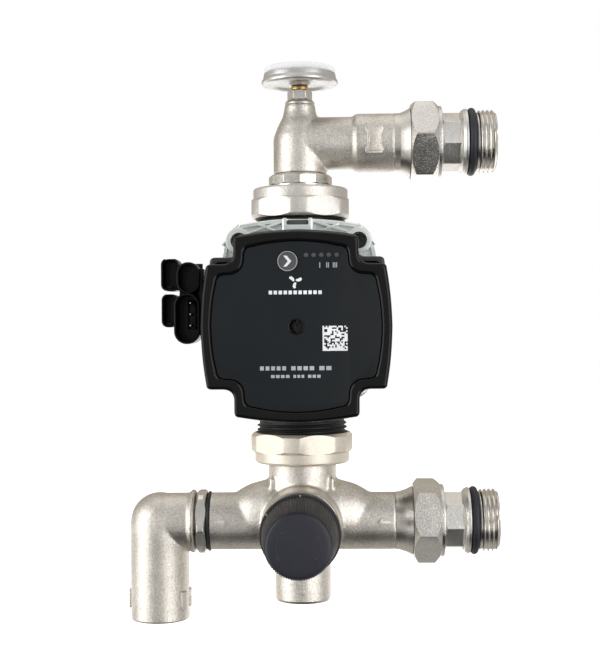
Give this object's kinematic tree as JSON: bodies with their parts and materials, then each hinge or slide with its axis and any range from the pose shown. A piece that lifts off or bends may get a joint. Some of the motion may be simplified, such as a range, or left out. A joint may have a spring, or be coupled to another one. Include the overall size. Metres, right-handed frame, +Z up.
{
  "type": "underfloor heating mixing group",
  "caption": "Pump and thermostatic mixing-valve group for an underfloor heating manifold: black electronic pump between nickel-plated elbows, dial thermometer, knob and union ends",
  "frame": {"origin": "centre of the lower manifold connection's end face", "axes": "+X out of both connections towards the manifold, +Z up along the pump's ports, the pump's control panel faces -Y"},
  "size_m": [0.1957, 0.124, 0.2918],
  "materials": {
    "nickel_casting": "sand-blasted hot-pressed brass, nickel plated",
    "nickel_machined": "turned brass, bright nickel plated",
    "bare_brass": "turned brass",
    "copper": "drawn copper",
    "pump_iron": "black electrocoat",
    "motor_aluminium": "bare die casting",
    "stainless": "satin stainless steel",
    "dark_steel": "black oxide screws",
    "ferrite": "moulded magnet",
    "ceramic": "ground ceramic and moulded seals",
    "black_rubber": "EPDM",
    "gloss_black": "glossy moulded plastic",
    "knob_plastic": "fine satin moulding",
    "panel_film": "matt printed film",
    "grey_plastic": "satin moulding",
    "white_dial": "printed white card",
    "clear_lens": "clear moulded window",
    "board_green": "solder mask"
  },
  "bodies": {
    "group": {"upper_union_nut": "nickel_machined", "upper_union_gasket": "black_rubber", "upper_union_tail": "nickel_machined", "upper_union_nipple": "nickel_machined", "upper_union_oring": "black_rubber", "lower_union_nut": "nickel_machined", "lower_union_gasket": "black_rubber", "lower_union_tail": "nickel_machined", "lower_union_nipple": "nickel_machined", "lower_union_oring": "black_rubber", "upper_pump_nut": "nickel_machined", "upper_pump_gasket": "black_rubber", "upper_tailpiece": "nickel_machined", "lower_pump_nut": "nickel_machined", "lower_pump_gasket": "black_rubber", "lower_tailpiece": "nickel_machined", "upper_elbow": "nickel_casting", "thermometer_pocket": "nickel_machined", "thermometer_stem": "bare_brass", "thermometer_case": "stainless", "thermometer_dial": "white_dial", "thermometer_lens": "clear_lens", "valve_body": "nickel_casting", "valve_bonnet": "nickel_machined", "shutter_spring": "stainless", "scale_ring": "knob_plastic", "inlet_elbow": "nickel_casting", "inlet_ring_nut": "nickel_machined", "inlet_oring": "black_rubber", "pump_housing": "pump_iron", "bearing_plate": "stainless", "rear_bearing": "ceramic", "front_bearing": "ceramic", "rotor_can": "stainless", "stator_core": "stainless", "stator_winding": "copper", "motor_housing": "motor_aluminium", "motor_screw_1": "dark_steel", "motor_screw_2": "dark_steel", "motor_screw_3": "dark_steel", "motor_screw_4": "dark_steel", "control_box_cover": "gloss_black", "control_panel": "panel_film", "led_light_guide": "clear_lens", "control_box_base": "gloss_black", "circuit_board": "board_green", "socket_block": "gloss_black", "power_pins": "stainless"},
    "temperature_knob": {"knob": "knob_plastic", "knob_screw": "stainless", "knob_cap": "knob_plastic"},
    "mixing_element": {"valve_spindle": "bare_brass", "thermostat_element": "copper", "mixing_shutter": "ceramic"},
    "pump_rotor": {"impeller": "grey_plastic", "shaft": "ceramic", "rotor": "ferrite"},
    "dial_pointer": {"thermometer_pointer": "dark_steel"},
    "button": {"mode_button": "grey_plastic"},
    "deblocking_plunger": {"deblocking_screw": "stainless"}
  },
  "joints": [
    {"name": "knob_turn", "type": "hinge", "parent": "group", "child": "temperature_knob", "pos_m": [-0.103, -0.0647, 0], "axis": [0, 1, 0], "range_deg": [-150, 150]},
    {"name": "element_slide", "type": "slide", "parent": "group", "child": "mixing_element", "axis": [0, 1, 0], "range_m": [-0.0015, 0.0015]},
    {"name": "rotor_spin", "type": "hinge", "parent": "group", "child": "pump_rotor", "pos_m": [-0.103, -0.03, 0.103], "axis": [0, 1, 0], "continuous": true},
    {"name": "pointer_turn", "type": "hinge", "parent": "group", "child": "dial_pointer", "pos_m": [-0.103, 0, 0.235], "axis": [0, 0, -1], "range_deg": [-67.5, 202.5], "stiffness_Nm_per_rad": 0.0001},
    {"name": "button_press", "type": "slide", "parent": "group", "child": "button", "axis": [0, 1, 0], "range_m": [0, 0.0006], "stiffness_N_per_m": 400},
    {"name": "deblocking_press", "type": "slide", "parent": "group", "child": "deblocking_plunger", "axis": [0, 1, 0], "range_m": [0, 0.002], "stiffness_N_per_m": 500}
  ],
  "couplings": [
    {"joint": "element_slide", "follows": "knob_turn", "m_per_rad": 0.00057}
  ]
}
